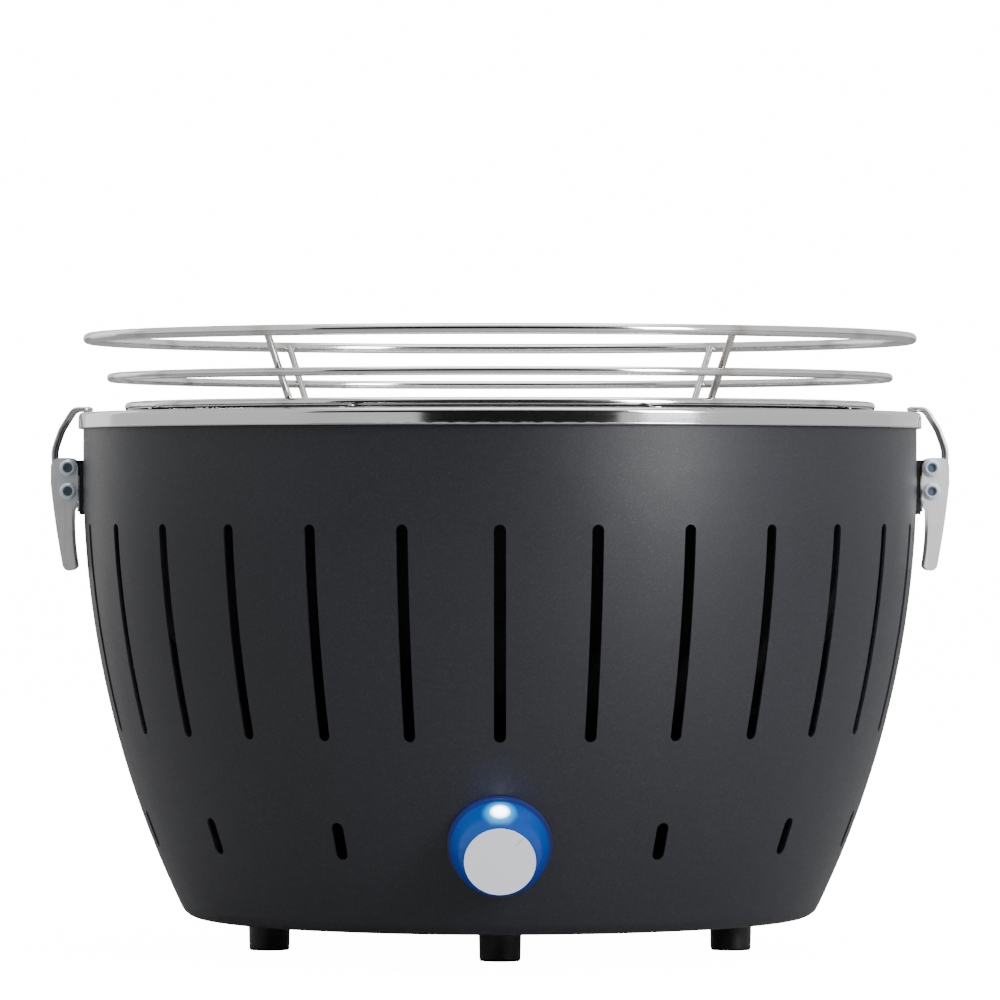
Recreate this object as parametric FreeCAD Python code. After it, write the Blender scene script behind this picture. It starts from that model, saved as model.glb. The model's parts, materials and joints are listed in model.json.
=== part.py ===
"""Portable tabletop charcoal grill: a slotted double-walled bowl with a fan under the charcoal basket.

Units are millimetres. +Z is up, the front (the knob) faces -Y, and the origin is the centre of the
circle that the feet stand on. Each sub-part is written to parts/NODE.step.
"""
import FreeCAD
import Part

import math
import os

V = FreeCAD.Vector
UP = V(0, 0, 1)
ORIGIN = V(0, 0, 0)

# ---- driving dimensions -------------------------------------------------------------------------
SHELL_R = 175.0            # outside radius of the straight upper band of the shell
SHELL_T = 1.0              # steel sheet of the shell
SHELL_TOP = 223.4
SHELL_FLOOR = 14.5         # underside of the shell
SIDE_R = 417.0             # long arc of the side wall, in section
SIDE_TOP = 200.0           # the arc runs into the straight band here
HEEL_R = 8.0
BATTERY_HOLE_R = 44.0

SLOT_COUNT = 28            # long slots all round, one facing front
SLOT_W = 4.8
SLOT_LOW, SLOT_HIGH = 93.0, 179.4
VENT_W = 5.2
VENT_LOW, VENT_HIGH = 45.0, 60.0

RIM_R = 177.0              # outside of the bowl's rolled rim
RIM_TOP = 225.7
RIM_LOW = 219.4
LEDGE_Z, LEDGE_R = 223.0, 167.0   # step inside the rim that carries the grate
BOWL_T = 0.8
BOWL_MOUTH_R = 160.0
BOWL_FLOOR = 86.0          # underside of the bowl's flat floor
BOWL_FLOOR_R = 84.0
FLOOR_SEAM_R = 83.0        # where the floor's disc ends and the wall begins
WALL_SEAM_Z = 130.0        # where the lower band of the wall ends
AIR_R = 16.0               # air passage up the middle
COLLAR_TOP = 99.0

EDGE_RING_R = 155.6        # heavy ring round the edge of the grate
EDGE_WIRE_R = 2.0
GRATE_RINGS = 13
RING_PITCH = 7.2
RING_FIRST_R = 150.6
RING_WIRE_R = 1.5
STOUT_RING = 4             # one of the inner rings is heavy as well
SPOKES = 8
SPOKE_WIRE_R = 1.5
SPOKE_END_R = 165.0
REST_GAP = 0.3             # between the spokes and the ledge that carries them
WELD = 0.2                 # how far a welded wire sinks into the one it crosses
PLATE_R = 58.0

GUARD_TOP_R, GUARD_TOP_Z, GUARD_TOP_WIRE = 172.8, 256.7, 2.25
GUARD_MID_R, GUARD_MID_Z, GUARD_MID_WIRE = 163.3, 240.3, 1.8
STRUT_WIRE_R = 1.5
STRUT_ANGLE = 33.2         # from the front and from the back

FOOT_R = 8.8
FOOT_SIDE = 97.0
FOOT_FRONT = 66.0

KNOB_Z = 51.7              # height at which the knob's axis meets the shell
KNOB_R = 19.8
KNOB_FACE_R = 14.7
KNOB_OUT = 16.5            # how far the knob stands out
KNOB_BACK = 1.9            # gap between the tangent plane and the knob's back edge

LEVER_PIVOT = (181.0, 202.6)   # radius and height of the latch lever's pivot
BAIL_PIVOT = (181.0, 192.8)    # radius and height of the bail's pivot on the lever
EAR_Y = (4.8, 6.2)             # bracket ears
BAIL_Y = 8.0                   # centre of the bail's legs
CHEEK_Y = (9.7, 11.0)          # lever cheeks
RIVET_R = 1.5
BAIL_WIRE_R = 1.05
RUN = 0.05                     # radial running clearance of the pivots


# ---- helpers ------------------------------------------------------------------------------------
def save(shape, name):
    """Writes one node, after checking that it is made of closed, valid solids."""
    solids = shape.Solids
    assert solids and shape.isValid(), name
    out = solids[0] if len(solids) == 1 else Part.Compound(solids)
    out.exportStep(f"parts/{name}.step")
    print(f"{name:24s} solids {len(solids):2d}  volume {sum(s.Volume for s in solids) / 1000:9.2f} cm3")


def tube_z(r_out, r_in, low, high):
    """A round wall or ring about Z."""
    ring = Part.makeCylinder(r_out, high - low, V(0, 0, low))
    return ring.cut(Part.makeCylinder(r_in, high - low, V(0, 0, low))) if r_in else ring


def disc(r, low, high, x=0.0, y=0.0):
    return Part.makeCylinder(r, high - low, V(x, y, low))


def block(x0, x1, y0, y1, z0, z1):
    return Part.makeBox(x1 - x0, y1 - y0, z1 - z0, V(x0, y0, z0))


def rz(p):
    """A point of a half section: radius and height."""
    return V(p[0], 0, p[1])


def line(a, b):
    return Part.LineSegment(rz(a), rz(b)).toShape()


def arc(a, b, c):
    return Part.Arc(rz(a), rz(b), rz(c)).toShape()


def turned(edges):
    """A closed half section turned once about Z."""
    solid = Part.Face(Part.Wire(edges)).revolve(ORIGIN, UP, 360)
    return solid if solid.ShapeType == "Solid" else Part.Solid(solid)


def turned_outline(points):
    return turned([line(a, b) for a, b in zip(points, points[1:] + points[:1])])


def around(shape, angle):
    """A copy turned about Z, in degrees."""
    copy = shape.copy()
    copy.rotate(ORIGIN, UP, angle)
    return copy


def rounded_path(points, radii):
    """Straight runs joined by tangent arcs, one radius for each inner point."""
    edges, start = [], points[0]
    for before, corner, after, r in zip(points, points[1:], points[2:], radii):
        to_a, to_b = (before - corner).normalize(), (after - corner).normalize()
        half = to_a.getAngle(to_b) / 2
        setback = r / math.tan(half)
        a, b = corner + to_a * setback, corner + to_b * setback
        middle_way = (to_a + to_b).normalize()
        mid = corner + middle_way * (r / math.sin(half) - r)
        if (a - start).Length > 1e-6:
            edges.append(Part.LineSegment(start, a).toShape())
        edges.append(Part.Arc(a, mid, b).toShape())
        start = b
    edges.append(Part.LineSegment(start, points[-1]).toShape())
    return Part.Wire(edges)


def wire_tube(path, r):
    """Round wire or cable bent along a path."""
    first = path.Edges[0]
    at = first.valueAt(first.FirstParameter)
    way = first.tangentAt(first.FirstParameter)
    section = Part.Wire(Part.makeCircle(r, at, way))
    tube = path.makePipeShell([section], True, True)
    expected = math.pi * r * r * path.Length
    assert abs(tube.Volume - expected) < 0.02 * expected, (tube.Volume, expected)
    return tube


def hexagon(r, low, high, x=0.0, y=0.0):
    """A six-sided prism with its corners at radius r."""
    corners = [V(x + r * math.cos(k * math.pi / 3), y + r * math.sin(k * math.pi / 3), low) for k in range(7)]
    return Part.Face(Part.makePolygon(corners)).extrude(V(0, 0, high - low))


def mirrored(shape, side):
    """Latch pieces are drawn on the +X side: side -1 gives the left one."""
    return shape if side > 0 else shape.mirror(ORIGIN, V(1, 0, 0))


# ---- shell --------------------------------------------------------------------------------------
SIDE_X = SHELL_R - SIDE_R      # radius coordinate of the side arc's centre


def shell_radius(z):
    """Outside radius of the shell's curved side wall at a height."""
    return SIDE_X + math.sqrt(SIDE_R ** 2 - (SIDE_TOP - z) ** 2)


def shell_slope(z):
    """How far the wall's outward normal points below the horizontal, in degrees."""
    return math.degrees(math.asin((SIDE_TOP - z) / SIDE_R))


def on_circle(x, z, r, angle):
    """A half-section point on a circle, at an angle below the horizontal."""
    a = math.radians(angle)
    return (x + r * math.cos(a), z - r * math.sin(a))


def shell_solid(inset):
    """The shell's filled outer form, shrunk by inset."""
    heel_z = SHELL_FLOOR + HEEL_R
    reach = SIDE_R - HEEL_R
    heel_x = SIDE_X + math.sqrt(reach ** 2 - (SIDE_TOP - heel_z) ** 2)
    heel_angle = math.degrees(math.asin((SIDE_TOP - heel_z) / reach))
    r, heel = SIDE_R - inset, HEEL_R - inset
    waist = (SHELL_R - inset, SIDE_TOP)
    belly = on_circle(SIDE_X, SIDE_TOP, r, heel_angle / 2)
    heel_out = on_circle(heel_x, heel_z, heel, heel_angle)
    heel_mid = on_circle(heel_x, heel_z, heel, (heel_angle + 90) / 2)
    heel_in = (heel_x, SHELL_FLOOR + inset)
    top = SHELL_TOP + (1.0 if inset else 0.0)
    band_top = (SHELL_R - inset, top)
    return turned([
        line((0, heel_in[1]), heel_in),
        arc(heel_in, heel_mid, heel_out),
        arc(heel_out, belly, waist),
        line(waist, band_top),
        line(band_top, (0, top)),
        line((0, top), (0, heel_in[1])),
    ])


def slot_cutter(width, low, high, near, far, angle):
    """A round-ended slot punched straight out along the radius at an angle from the front."""
    r = width / 2
    body = block(near, far, -r, r, low + r, high - r)
    ends = [Part.makeCylinder(r, far - near, V(near, 0, z), V(1, 0, 0)) for z in (low + r, high - r)]
    return around(body.fuse(ends), angle - 90)


SHELL_FORM = shell_solid(0)
SLOT_STEP = 360.0 / SLOT_COUNT
FOOT_SPOTS = {
    "left": (-FOOT_SIDE, 0.0),
    "right": (FOOT_SIDE, 0.0),
    "front": (0.0, -FOOT_FRONT),
    "back": (0.0, FOOT_FRONT),
}
BRACKET_RIVET_SPOTS = [(-5.5, 186.5), (5.5, 186.5)]
BRACKET_RIVET_R = 1.6
KNOB_BUSH_R = 4.5


# ---- knob frame: local +Z is the knob's axis, pointing out of the shell ---------------------------
KNOB_TILT = shell_slope(KNOB_Z)
KNOB_AT = V(0, -shell_radius(KNOB_Z), KNOB_Z)
KNOB_AXIS = V(0, -math.cos(math.radians(KNOB_TILT)), -math.sin(math.radians(KNOB_TILT)))


def on_knob_axis(shape):
    """Moves a piece drawn about local Z onto the knob's axis; local +Y becomes uphill."""
    placed = shape.copy()
    placed.rotate(ORIGIN, V(1, 0, 0), 90 + KNOB_TILT)
    placed.translate(KNOB_AT)
    return placed


def outer_shell():
    shell = SHELL_FORM.cut(shell_solid(SHELL_T))
    cutters = [
        slot_cutter(SLOT_W, SLOT_LOW, SLOT_HIGH, 140, 190, k * SLOT_STEP) for k in range(SLOT_COUNT)
    ]
    cutters += [
        slot_cutter(VENT_W, VENT_LOW, VENT_HIGH, 130, 165, k * SLOT_STEP) for k in range(2, SLOT_COUNT, 2)
    ]
    cutters.append(disc(BATTERY_HOLE_R, SHELL_FLOOR - 1, SHELL_FLOOR + 3))
    for x, y in FOOT_SPOTS.values():
        cutters.append(disc(2.1, SHELL_FLOOR - 1, SHELL_FLOOR + 3, x, y))
    for side in (-1, 1):
        for y, z in BRACKET_RIVET_SPOTS:
            hole = Part.makeCylinder(BRACKET_RIVET_R, 20, V(165, y, z), V(1, 0, 0))
            cutters.append(mirrored(hole, side))
    cutters.append(on_knob_axis(disc(KNOB_BUSH_R + 0.1, -6, 6)))
    cutters.append(on_knob_axis(disc(LED_R + 0.2, -6, 6, 0, LED_UPHILL)))
    return shell.cut(cutters)


# ---- bowl ---------------------------------------------------------------------------------------
def bowl_form(inset):
    """Filled form of the bowl below its rim, shrunk by inset."""
    wall_top = (BOWL_MOUTH_R + BOWL_T - inset, LEDGE_Z)
    belly = (134.0 - inset, 126.0 + inset * 0.6)
    foot = (BOWL_FLOOR_R - inset * 0.5, BOWL_FLOOR + inset)
    return turned([
        line((0, foot[1]), foot),
        arc(foot, belly, wall_top),
        line(wall_top, (0, LEDGE_Z)),
        line((0, LEDGE_Z), (0, foot[1])),
    ])


def inner_bowl():
    """The upper part of the pressed bowl: curved wall, a ledge, and a rim rolled down over the shell."""
    t, round_r = 1.2, 2.0
    corner = (RIM_R - round_r, RIM_TOP - round_r)
    skirt_in = RIM_R - 1.0
    top_under, ledge_under = RIM_TOP - t, LEDGE_Z - t
    rim = turned([
        line((BOWL_MOUTH_R, ledge_under), (LEDGE_R + t, ledge_under)),
        line((LEDGE_R + t, ledge_under), (LEDGE_R + t, top_under)),
        line((LEDGE_R + t, top_under), (skirt_in, top_under)),
        line((skirt_in, top_under), (skirt_in, RIM_LOW)),
        line((skirt_in, RIM_LOW), (RIM_R, RIM_LOW)),
        line((RIM_R, RIM_LOW), (RIM_R, corner[1])),
        arc((RIM_R, corner[1]), on_circle(*corner, round_r, -45), (corner[0], RIM_TOP)),
        line((corner[0], RIM_TOP), (LEDGE_R, RIM_TOP)),
        line((LEDGE_R, RIM_TOP), (LEDGE_R, LEDGE_Z)),
        line((LEDGE_R, LEDGE_Z), (BOWL_MOUTH_R, LEDGE_Z)),
        line((BOWL_MOUTH_R, LEDGE_Z), (BOWL_MOUTH_R, ledge_under)),
    ])
    upper = bowl_wall().cut(disc(RIM_R, 0, WALL_SEAM_Z))
    return upper.fuse(rim).removeSplitter()


def bowl_wall():
    """The bowl's curved wall from the edge of its floor up to the ledge."""
    wall = bowl_form(0).cut(bowl_form(BOWL_T))
    return wall.cut(disc(FLOOR_SEAM_R, BOWL_FLOOR - 2, BOWL_FLOOR + 5))


def bowl_floor():
    """The bowl's flat floor, with a hole for the air collar, and the lower band of its wall."""
    floor = tube_z(FLOOR_SEAM_R, AIR_R + BOWL_T, BOWL_FLOOR, BOWL_FLOOR + BOWL_T)
    return Part.Compound([floor, bowl_wall().common(disc(RIM_R, 0, WALL_SEAM_Z))])


def air_collar():
    return tube_z(AIR_R + BOWL_T, AIR_R, BOWL_FLOOR, COLLAR_TOP)


# ---- grate and its guard ------------------------------------------------------------------------
SPOKE_Z = LEDGE_Z + REST_GAP + SPOKE_WIRE_R
RING_LOW = SPOKE_Z + SPOKE_WIRE_R - WELD      # underside of every ring
EDGE_RING_Z = RING_LOW + EDGE_WIRE_R


def grate_rings():
    rings = [Part.makeTorus(EDGE_RING_R, EDGE_WIRE_R, V(0, 0, EDGE_RING_Z))]
    for k in range(GRATE_RINGS):
        wire = EDGE_WIRE_R if k == STOUT_RING else RING_WIRE_R
        rings.append(Part.makeTorus(RING_FIRST_R - k * RING_PITCH, wire, V(0, 0, RING_LOW + wire)))
    return Part.Compound(rings)


def grate_spokes():
    inner = 40.0
    spoke = Part.makeCylinder(SPOKE_WIRE_R, SPOKE_END_R - inner, V(inner, 0, SPOKE_Z), V(1, 0, 0))
    return Part.Compound([around(spoke, (k + 0.5) * 360.0 / SPOKES) for k in range(SPOKES)])


PLATE_Z = SPOKE_Z + SPOKE_WIRE_R + 0.05


def drip_plate():
    low, high = PLATE_Z, PLATE_Z + 1.0
    rise = 1.6
    profile = [
        (0, low + rise), (20, low + rise), (30, low), (PLATE_R, low),
        (PLATE_R, high), (30.4, high), (20.4, high + rise), (0, high + rise),
    ]
    holes = []
    for r, count, hole in ((12.0, 8, 1.8), (40.0, 24, 1.8), (49.0, 24, 1.8)):
        turn = 0.5 if r == 49.0 else 0.0
        for k in range(count):
            a = math.radians((k + turn) * 360.0 / count)
            holes.append(disc(hole, PLATE_Z - 1, PLATE_Z + 4, r * math.cos(a), r * math.sin(a)))
    return turned_outline(profile).cut(holes)


def plate_rivets():
    """Four spot-rivets that hold the plate down on every second spoke."""
    heads = []
    for k in range(0, SPOKES, 2):
        a = math.radians((k + 0.5) * 360.0 / SPOKES)
        x, y = 54.5 * math.cos(a), 54.5 * math.sin(a)
        heads.append(disc(2.2, PLATE_Z + 1.0, PLATE_Z + 1.9, x, y))
    return Part.Compound(heads)


def guard_struts():
    """Four leaning wires that carry both guard rings above the grate."""
    lean = (GUARD_TOP_R - GUARD_MID_R) / (GUARD_TOP_Z - GUARD_MID_Z)
    low_z = RING_LOW + 0.3
    low = V(GUARD_MID_R - lean * (GUARD_MID_Z - low_z), 0, low_z)
    high = V(GUARD_TOP_R, 0, GUARD_TOP_Z)
    inward = V(-1, 0, lean).normalize() * (STRUT_WIRE_R + GUARD_MID_WIRE - WELD)
    inward.z = 0
    way = high - low
    strut = Part.makeCylinder(STRUT_WIRE_R, way.Length, low + inward, way)
    angles = (-90 - STRUT_ANGLE, -90 + STRUT_ANGLE, 90 - STRUT_ANGLE, 90 + STRUT_ANGLE)
    return Part.Compound([around(strut, a) for a in angles])


# ---- charcoal basket, lid, handle and fuel dish --------------------------------------------------
BASKET_R = 56.0
BASKET_T = 0.8
BASKET_LOW = 87.2
BASKET_TOP = 174.0
BASKET_GRID_Z = 101.0
LID_Z = BASKET_TOP + 0.4
HANDLE_X = 25.5
HANDLE_Z = LID_Z + 5.0
HANDLE_REACH = 31.0
HANDLE_WIRE_R = 1.25


def charcoal_basket():
    wall = tube_z(BASKET_R, BASKET_R - BASKET_T, BASKET_LOW, BASKET_TOP)
    floor = disc(BASKET_R - BASKET_T / 2, BASKET_GRID_Z, BASKET_GRID_Z + 1.0)
    holes = []
    rows, per_row = 4, 16
    for row in range(rows):
        z = 114.0 + row * 14.5
        for k in range(per_row):
            hole = Part.makeCylinder(3.5, 12, V(BASKET_R - 6, 0, z), V(1, 0, 0))
            holes.append(around(hole, (k + row % 2 * 0.5) * 360.0 / per_row))
    for k in range(12):
        arch = block(BASKET_R - 6, BASKET_R + 6, -4, 4, BASKET_LOW + 2, BASKET_LOW + 9)
        holes.append(around(arch, k * 30.0))
    for r, count in ((0, 1), (15, 6), (30, 12), (44, 18)):
        for k in range(count):
            a = math.radians(k * 360.0 / count)
            holes.append(disc(3.0, BASKET_GRID_Z - 1, BASKET_GRID_Z + 2, r * math.cos(a), r * math.sin(a)))
    return wall.fuse(floor).cut(holes)


def basket_lid():
    lid = disc(BASKET_R + 1.2, LID_Z, LID_Z + 0.9)
    lid = lid.fuse(tube_z(BASKET_R + 1.2, BASKET_R + 0.4, LID_Z - 3.5, LID_Z))
    for side in (-1, 1):
        x = side * HANDLE_X
        lug = block(x - 1.5, x + 1.5, -3, 3, LID_Z + 0.5, HANDLE_Z)
        lug = lug.fuse(Part.makeCylinder(3, 3, V(x - 1.5, 0, HANDLE_Z), V(1, 0, 0)))
        lug = lug.cut(Part.makeCylinder(HANDLE_WIRE_R + RUN, 3, V(x - 1.5, 0, HANDLE_Z), V(1, 0, 0)))
        lid = lid.fuse(lug)
    vents = []
    for k in range(12):
        a = math.radians(k * 30.0 + 15)
        vents.append(disc(3.0, LID_Z - 1, LID_Z + 2, 45 * math.cos(a), 45 * math.sin(a)))
    return lid.cut(vents)


def lid_handle():
    """A folding wire handle whose turned-in ends sit in the lid's two lugs."""
    outside = HANDLE_X + 4.5
    points = [
        V(-HANDLE_X + 2.5, 0, HANDLE_Z),
        V(-outside, 0, HANDLE_Z),
        V(-outside, -HANDLE_REACH, HANDLE_Z),
        V(outside, -HANDLE_REACH, HANDLE_Z),
        V(outside, 0, HANDLE_Z),
        V(HANDLE_X - 2.5, 0, HANDLE_Z),
    ]
    return wire_tube(rounded_path(points, [2.2, 10, 10, 2.2]), HANDLE_WIRE_R)


DISH_T = 0.8
DISH_LOW = BOWL_FLOOR + BOWL_T + 0.2
DISH_IN, DISH_OUT = 18.4, 48.0


def dish_floor():
    """Flat ring of the fuel dish, which stands round the air collar."""
    return tube_z(DISH_OUT, DISH_IN, DISH_LOW, DISH_LOW + DISH_T)


def dish_walls():
    outer = tube_z(DISH_OUT, DISH_OUT - DISH_T, DISH_LOW + DISH_T, DISH_LOW + 8)
    inner = tube_z(DISH_IN + DISH_T, DISH_IN, DISH_LOW + DISH_T, DISH_LOW + 9)
    return Part.Compound([outer, inner])


# ---- base: housing, batteries, fan ---------------------------------------------------------------
BASE_LOW = SHELL_FLOOR + SHELL_T
BASE_TOP = 58.0
BASE_R = 50.0
FLANGE_R = 56.0
SCREW_RING_R = 53.0
DECK_LOW, DECK_HIGH = 36.0, 37.5
CELL_R, CELL_L, CELL_PITCH = 7.1, 49.0, 15.0
CELL_Z = 27.2
CAP_R = BATTERY_HOLE_R - 0.5


def base_housing():
    body = disc(BASE_R, BASE_LOW, BASE_TOP).fuse(disc(FLANGE_R, BASE_LOW, BASE_LOW + 2))
    body = body.cut(disc(BASE_R - 2, DECK_HIGH, BASE_TOP))
    body = body.cut(disc(BASE_R - 2, BASE_LOW + 3, DECK_LOW))
    body = body.cut(disc(46.6, BASE_LOW, BASE_LOW + 3))
    tray = block(-32.5, 32.5, -31, 31, BASE_LOW + 2.9, DECK_LOW + 0.1)
    tray = tray.cut(block(-31, 31, -29.2, 29.2, BASE_LOW + 2.9, DECK_LOW + 0.1))
    body = body.fuse(tray)
    windows = [around(block(BASE_R - 4, BASE_R + 2, -8, 8, 41, 55), k * 30.0) for k in range(12)]
    holes = [disc(1.5, BASE_LOW, BASE_LOW + 3, x, y) for x, y in SCREW_SPOTS]
    return body.cut(windows + holes)


SCREW_ANGLES = [math.radians(45 + 90 * k) for k in range(4)]
SCREW_SPOTS = [(SCREW_RING_R * math.cos(a), SCREW_RING_R * math.sin(a)) for a in SCREW_ANGLES]


def housing_screws():
    screws = []
    for x, y in SCREW_SPOTS:
        head = disc(2.6, BASE_LOW + 2.0, BASE_LOW + 3.6, x, y)
        screws.append(disc(1.5, BASE_LOW, BASE_LOW + 2.0, x, y).fuse(head))
    return Part.Compound(screws)


def battery_cap():
    """Round twist-off cover of the battery bay, with two locking tabs and a coin slot."""
    cap = disc(CAP_R, BASE_LOW - 1.8, BASE_LOW + 1.4)
    tabs = disc(46.2, BASE_LOW + 0.2, BASE_LOW + 1.4).common(block(-50, 50, -6, 6, BASE_LOW, BASE_LOW + 2))
    return cap.fuse(tabs).cut(block(-11, 11, -1.1, 1.1, BASE_LOW - 1.8, BASE_LOW - 0.5))


def battery_cell(k):
    """One of four round cells lying along Y, turned end for end in alternation."""
    x = (k - 1.5) * CELL_PITCH
    way = 1 if k % 2 else -1
    can = Part.makeCylinder(CELL_R, CELL_L, V(x, -way * CELL_L / 2, CELL_Z), V(0, way, 0))
    nub = Part.makeCylinder(2.7, 1.0, V(x, way * CELL_L / 2, CELL_Z), V(0, way, 0))
    return can.fuse(nub)


def battery_contacts(way):
    """A contact strip with a coiled-spring stand-in cone for each cell that meets it with its flat end."""
    y = way * 28.3
    strip = block(-28, 28, min(y, y + way * 0.5), max(y, y + way * 0.5), CELL_Z - 5, CELL_Z + 5)
    studs = []
    for k in range(4):
        x = (k - 1.5) * CELL_PITCH
        nub_end = (k % 2 == 1) == (way == 1)
        reach = 28.3 - (CELL_L / 2 + (1.0 if nub_end else 0.0))
        r = 1.6 if nub_end else 3.4
        studs.append(Part.makeCone(r + 1.0, r, reach, V(x, y, CELL_Z), V(0, -way, 0)))
    return strip.fuse(studs)


FAN_LOW, FAN_HIGH = 43.5, 54.0


def fan_frame():
    ring = tube_z(39.0, 36.0, DECK_HIGH, 56.0)
    cup = tube_z(13.0, 10.1, DECK_HIGH, 41.0)
    arms = [around(block(12, 37, -2, 2, DECK_HIGH, 40.0), k * 120.0 + 30) for k in range(3)]
    return ring.fuse(cup).fuse(arms)


def fan_motor():
    return tube_z(10.0, 1.5 + RUN, DECK_HIGH, 41.5)


def fan_shaft():
    return disc(1.5, DECK_HIGH + 0.3, FAN_HIGH - 1)


def fan_rotor():
    hub = disc(12.0, FAN_LOW, FAN_HIGH).cut(disc(1.5, FAN_LOW, FAN_HIGH - 1))
    blades = []
    for k in range(7):
        blade = block(11, 34.5, -0.7, 0.7, -7.5, 7.5)
        blade.rotate(ORIGIN, V(1, 0, 0), 52)
        blade.translate(V(0, 0, (FAN_LOW + FAN_HIGH) / 2))
        blades.append(around(blade, k * 360.0 / 7))
    slab = disc(34.5, FAN_LOW, FAN_HIGH)
    return hub.fuse(blades).common(slab)


def fan_cover():
    """The lid of the base, with the duct that takes the fan's air up to the bowl."""
    lid = disc(BASE_R, BASE_TOP, BASE_TOP + 2).fuse(disc(AIR_R + 2, BASE_TOP, BOWL_FLOOR - 2.4))
    lid = lid.cut(disc(AIR_R, BASE_TOP, BOWL_FLOOR))
    return lid


def air_gasket():
    return tube_z(AIR_R + 3, AIR_R, BOWL_FLOOR - 2.4, BOWL_FLOOR)


# ---- knob, dimmer, light and board ---------------------------------------------------------------
LED_UPHILL = 14.2
LED_R = 2.0
KNOB_LIP = KNOB_OUT - 0.5
KNOB_SEAT = KNOB_OUT - 1.3     # the face disc sits on this level


def knob_bezel():
    """A thin ring that follows the shell's curve behind the knob."""
    ring = tube_z(KNOB_R + 1.2, KNOB_R - 2.8, -3.2, KNOB_BACK - 0.4)
    return on_knob_axis(ring).cut(SHELL_FORM)


def knob_skirt():
    """The translucent turning body: a rounded, tapering cup with a hub on the dimmer's shaft."""
    bore, hub = 3.02, 5.0
    lip_in = KNOB_FACE_R - 0.4
    return on_knob_axis(turned([
        line((lip_in, KNOB_LIP), (KNOB_FACE_R, KNOB_LIP)),
        arc((KNOB_FACE_R, KNOB_LIP), (18.0, 9.8), (KNOB_R, KNOB_BACK)),
        line((KNOB_R, KNOB_BACK), (KNOB_R - 2.4, KNOB_BACK)),
        arc((KNOB_R - 2.4, KNOB_BACK), (15.7, 8.6), (12.6, 13.6)),
        line((12.6, 13.6), (hub, 13.6)),
        line((hub, 13.6), (hub, 6.0)),
        line((hub, 6.0), (bore, 6.0)),
        line((bore, 6.0), (bore, KNOB_SEAT)),
        line((bore, KNOB_SEAT), (lip_in, KNOB_SEAT)),
        line((lip_in, KNOB_SEAT), (lip_in, KNOB_LIP)),
    ]))


def knob_cap():
    return on_knob_axis(disc(KNOB_FACE_R - 0.45, KNOB_SEAT, KNOB_OUT))


def dimmer_shaft():
    return on_knob_axis(disc(3.0, -9, KNOB_SEAT))


def dimmer_body():
    body = block(-8.5, 8.5, -8.5, 8.5, -13, -5.2).fuse(disc(KNOB_BUSH_R, -5.2, 4.5))
    return on_knob_axis(body.cut(disc(3.0 + RUN, -9.3, 5)))


def dimmer_nut():
    nut = hexagon(7.0, 0.1, 2.1)
    return on_knob_axis(nut.cut(disc(KNOB_BUSH_R, 0, 3)))


def status_light():
    """A round light that shines through the skirt from behind its upper edge."""
    dome = disc(LED_R, -4.2, 1.2).fuse(Part.makeSphere(LED_R, V(0, 0, 1.2)))
    light = dome.fuse(disc(LED_R + 0.6, -5.0, -3.6))
    light.translate(V(0, LED_UPHILL, 0))
    return on_knob_axis(light)


BOARD_Y = (-103.0, -75.0)
BOARD_Z = 23.0


def circuit_board():
    board = block(-18, 18, BOARD_Y[0], BOARD_Y[1], BOARD_Z, BOARD_Z + 1.6)
    chips = [
        block(-13, -5, -95, -87, BOARD_Z + 1.6, BOARD_Z + 3.4),
        block(2, 12, -98, -92, BOARD_Z + 1.6, BOARD_Z + 5.0),
        disc(3.2, BOARD_Z + 1.6, BOARD_Z + 9.0, 7, -84),
    ]
    holes = [disc(1.5, BOARD_Z - 1, BOARD_Z + 3, x, y) for x, y in BOARD_SCREWS]
    return board.fuse(chips).cut(holes)


BOARD_SCREWS = [(-14.5, -78.5), (14.5, -99.5), (-14.5, -99.5), (14.5, -78.5)]


def board_posts():
    posts = []
    for x, y in BOARD_SCREWS:
        tip = disc(1.5, BOARD_Z, BOARD_Z + 1.8, x, y)
        posts.append(disc(2.6, BASE_LOW, BOARD_Z, x, y).fuse(tip))
    return Part.Compound(posts)


def dimmer_lead():
    """Cable from the board up to the back of the dimmer."""
    back = KNOB_AT - KNOB_AXIS * 13.0
    out = back - KNOB_AXIS * 7.0
    points = [
        V(0, BOARD_Y[0] + 8, BOARD_Z + 1.7),
        V(0, BOARD_Y[0] + 8, BOARD_Z + 16),
        V(0, (BOARD_Y[0] + 8 + out.y) / 2, (BOARD_Z + 22 + out.z) / 2),
        out,
        back,
    ]
    return wire_tube(rounded_path(points, [8, 6, 4]), 1.4)


def battery_lead():
    """Cable from the board through a window of the base to the battery deck."""
    x = -4.0
    points = [
        V(x, -79, BOARD_Z + 1.65),
        V(x, -79, 38),
        V(x, -64, 47),
        V(x, -44, 47),
        V(x, -44, DECK_HIGH + 0.05),
    ]
    return wire_tube(rounded_path(points, [4, 4, 3]), 1.2)


# ---- feet ---------------------------------------------------------------------------------------
def foot(x, y):
    """A rubber foot, slightly narrower at the ground, screwed up into the shell."""
    pad = Part.makeCone(FOOT_R - 0.6, FOOT_R - 0.3, 1.0, V(x, y, 0))
    post = Part.makeCone(FOOT_R - 0.3, FOOT_R, SHELL_FLOOR - 1.0, V(x, y, 1.0))
    well = disc(4.2, 0, 9.0, x, y)
    return pad.fuse(post).cut([well, disc(2.0, 0, SHELL_FLOOR, x, y)])


def foot_screws():
    screws = []
    for x, y in FOOT_SPOTS.values():
        head = disc(3.6, 6.2, 9.0, x, y).cut(block(x - 4, x + 4, y - 0.5, y + 0.5, 6.2, 7.2))
        screws.append(head.fuse(disc(2.0, 9.0, BASE_LOW + 4, x, y)))
    return Part.Compound(screws)


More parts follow.
